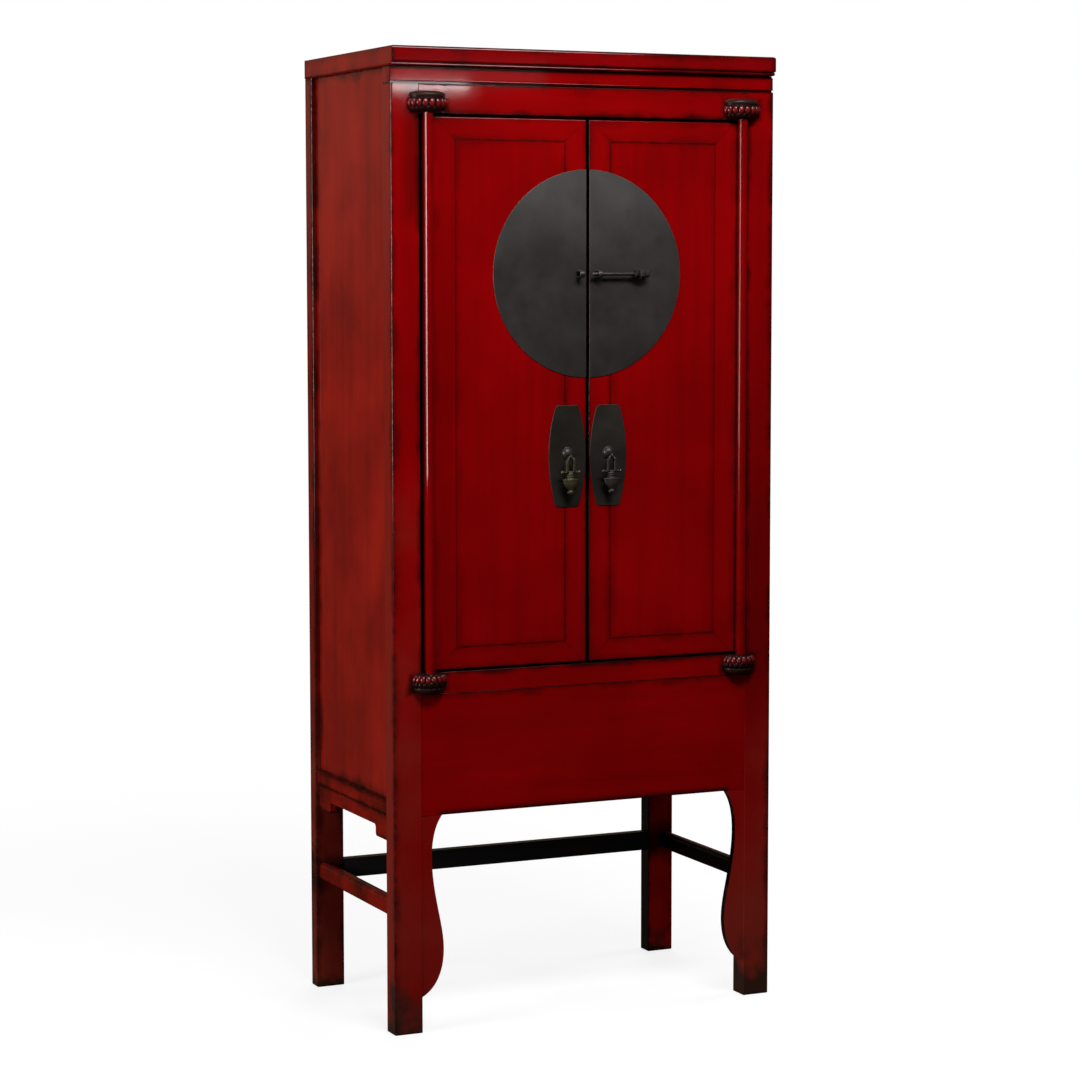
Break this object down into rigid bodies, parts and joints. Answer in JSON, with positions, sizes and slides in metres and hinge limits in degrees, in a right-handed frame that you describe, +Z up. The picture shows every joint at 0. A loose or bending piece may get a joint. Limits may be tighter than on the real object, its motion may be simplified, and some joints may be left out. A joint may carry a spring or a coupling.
{
  "type": "chinese wedding cabinet",
  "caption": "Tall red-lacquered cabinet on legs, with pole-hung doors, a round lock plate with a sliding pin, hanging pulls, inner drawers and a covered bottom compartment.",
  "frame": {"origin": "on the floor, below the middle of the bounding box", "axes": "+Z up, the doors face -Y, +X to the right of someone facing the doors"},
  "size_m": [0.815, 0.491, 1.88],
  "materials": {
    "red_lacquer": "worn glossy deep red lacquer over wood, dark at the arrises",
    "side_lacquer": "thinner brownish red lacquer, satin, faded towards the floor",
    "dark_lacquer": "near-black lacquered back boards and rails",
    "bare_wood": "unlacquered aged elm, dull",
    "dark_bronze": "hammered sheet metal with a grey-black patina and brighter rubbed edges",
    "aged_brass": "cast brass, tarnished brown-grey, rubbed bright where touched"
  },
  "bodies": {
    "case": {"front_left_post": "red_lacquer", "front_right_post": "red_lacquer", "back_left_post": "red_lacquer", "back_right_post": "red_lacquer", "top_front_rail": "red_lacquer", "top_back_rail": "red_lacquer", "top_side_rails": "red_lacquer", "top_panel": "red_lacquer", "top_battens": "bare_wood", "waist_moulding": "red_lacquer", "door_head_rail": "red_lacquer", "door_sill_rail": "red_lacquer", "front_apron": "red_lacquer", "leg_spandrels": "red_lacquer", "left_side_panel": "side_lacquer", "right_side_panel": "side_lacquer", "side_rails": "side_lacquer", "side_aprons": "side_lacquer", "side_stretchers": "red_lacquer", "back_stretcher": "dark_lacquer", "back_bottom_rail": "dark_lacquer", "back_middle_rail": "dark_lacquer", "back_lower_panel": "dark_lacquer", "back_upper_panel": "dark_lacquer", "upper_lotus_brackets": "red_lacquer", "lower_lotus_brackets": "red_lacquer", "lower_shelf": "bare_wood", "upper_shelf": "bare_wood", "shelf_ledgers": "bare_wood", "drawer_partitions": "bare_wood", "compartment_floor": "bare_wood", "compartment_ledgers": "bare_wood"},
    "left_door": {"left_door_pole_stile": "red_lacquer", "left_door_inner_stile": "red_lacquer", "left_door_rails": "red_lacquer", "left_door_panel": "red_lacquer", "left_door_battens": "bare_wood", "left_half_disc": "dark_bronze", "left_handle_plate": "dark_bronze", "left_lock_staple": "aged_brass", "left_pull_boss": "aged_brass"},
    "left_pull": {"left_pull_drop": "aged_brass"},
    "right_door": {"right_door_pole_stile": "red_lacquer", "right_door_inner_stile": "red_lacquer", "right_door_rails": "red_lacquer", "right_door_panel": "red_lacquer", "right_door_battens": "bare_wood", "right_half_disc": "dark_bronze", "right_handle_plate": "dark_bronze", "right_lock_staple": "aged_brass", "right_pull_boss": "aged_brass"},
    "right_pull": {"right_pull_drop": "aged_brass"},
    "lock_pin": {"lock_pin": "aged_brass"},
    "left_drawer": {"left_drawer_front": "red_lacquer", "left_drawer_box": "bare_wood", "left_drawer_pull": "aged_brass"},
    "right_drawer": {"right_drawer_front": "red_lacquer", "right_drawer_box": "bare_wood", "right_drawer_pull": "aged_brass"},
    "compartment_cover": {"compartment_cover": "bare_wood"}
  },
  "joints": [
    {"name": "left_door_hinge", "type": "hinge", "parent": "case", "child": "left_door", "pos_m": [-0.3345, -0.223, 1.2], "axis": [0, 0, -1], "range_deg": [0, 180]},
    {"name": "right_door_hinge", "type": "hinge", "parent": "case", "child": "right_door", "pos_m": [0.3345, -0.223, 1.2], "axis": [0, 0, 1], "range_deg": [0, 180]},
    {"name": "left_pull_swing", "type": "hinge", "parent": "left_door", "child": "left_pull", "pos_m": [-0.044, -0.2321, 1.1044], "axis": [-1, 0, 0], "range_deg": [-4, 100]},
    {"name": "right_pull_swing", "type": "hinge", "parent": "right_door", "child": "right_pull", "pos_m": [0.044, -0.2321, 1.1044], "axis": [-1, 0, 0], "range_deg": [-4, 100]},
    {"name": "lock_pin_slide", "type": "slide", "parent": "right_door", "child": "lock_pin", "axis": [1, 0, 0], "range_m": [-0.066, 0.01]},
    {"name": "left_drawer_slide", "type": "slide", "parent": "case", "child": "left_drawer", "axis": [0, -1, 0], "range_m": [0, 0.231]},
    {"name": "right_drawer_slide", "type": "slide", "parent": "case", "child": "right_drawer", "axis": [0, -1, 0], "range_m": [0, 0.231]},
    {"name": "compartment_cover_lift", "type": "slide", "parent": "case", "child": "compartment_cover", "axis": [0, 0, 1], "range_m": [0, 0.25]}
  ],
  "couplings": [
    {"joint": "left_drawer_slide", "follows": "left_door_hinge", "m_per_rad": 0.0732},
    {"joint": "right_drawer_slide", "follows": "right_door_hinge", "m_per_rad": 0.0732}
  ]
}
